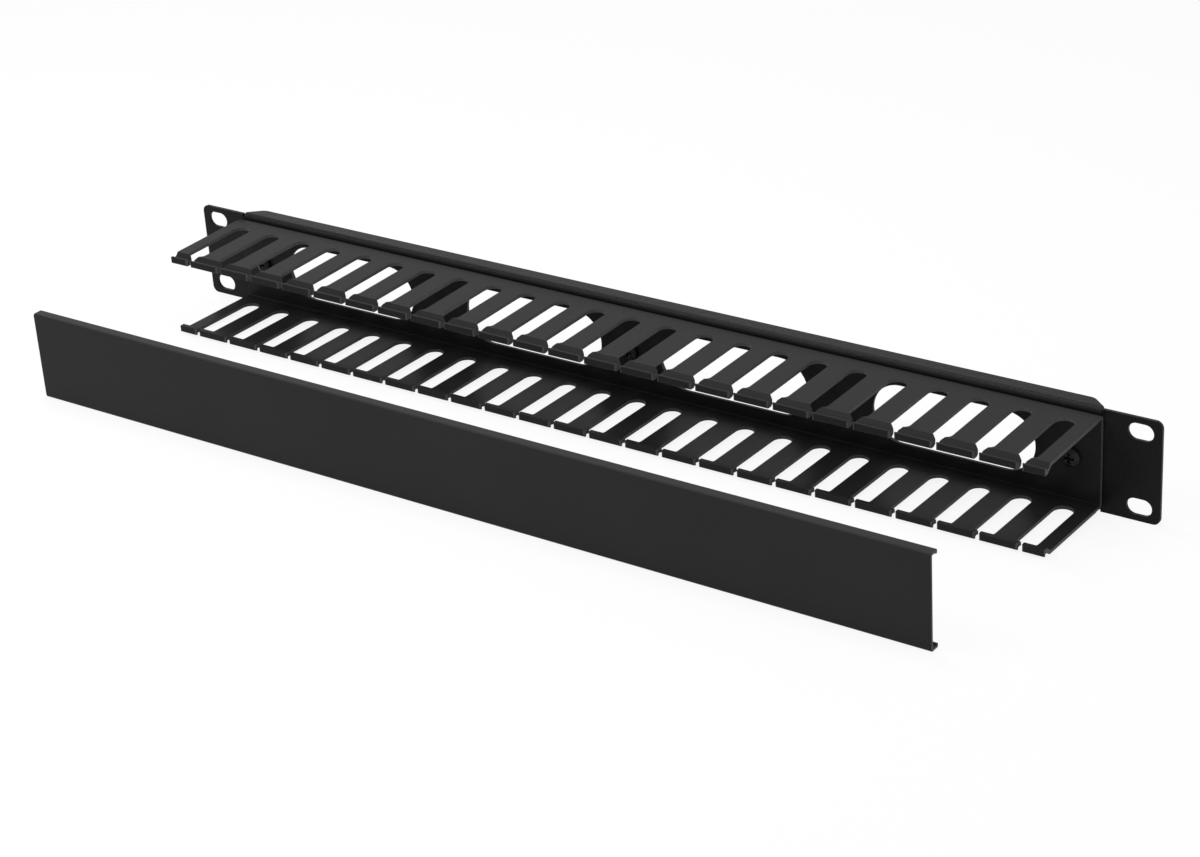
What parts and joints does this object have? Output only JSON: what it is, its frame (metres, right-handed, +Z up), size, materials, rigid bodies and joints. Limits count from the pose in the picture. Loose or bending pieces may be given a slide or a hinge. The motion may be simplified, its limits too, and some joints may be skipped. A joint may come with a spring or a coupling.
{
  "type": "horizontal cable manager",
  "caption": "One-unit rack panel with a slotted finger duct screwed to its front, cable windows through its back wall and a clip-on cover standing off in front.",
  "frame": {"origin": "centre of the four rack slots, on the rear face of the panel's ears, where they meet the rack's rails", "axes": "+X along the panel to the right as seen from the front, +Y from the duct towards the rack, +Z up"},
  "size_m": [0.4826, 0.1407, 0.046],
  "materials": {
    "panel_paint": "matt black powder coat on folded steel sheet",
    "duct_plastic": "satin black rigid plastic",
    "cover_plastic": "satin black rigid plastic, fine grain",
    "screw_steel": "black plated steel",
    "hidden_steel": "zinc plated steel"
  },
  "bodies": {
    "manager": {"rack_panel": "panel_paint", "finger_duct": "duct_plastic", "screw_left": "screw_steel", "washer_left": "hidden_steel", "nut_left": "hidden_steel", "screw_middle": "screw_steel", "washer_middle": "hidden_steel", "nut_middle": "hidden_steel", "screw_right": "screw_steel", "washer_right": "hidden_steel", "nut_right": "hidden_steel"},
    "cover": {"duct_cover": "cover_plastic"}
  },
  "joints": [
    {"name": "cover_slide", "type": "slide", "parent": "manager", "child": "cover", "axis": [0, 0.9985, -0.0552], "range_m": [0, 0.08333]}
  ]
}
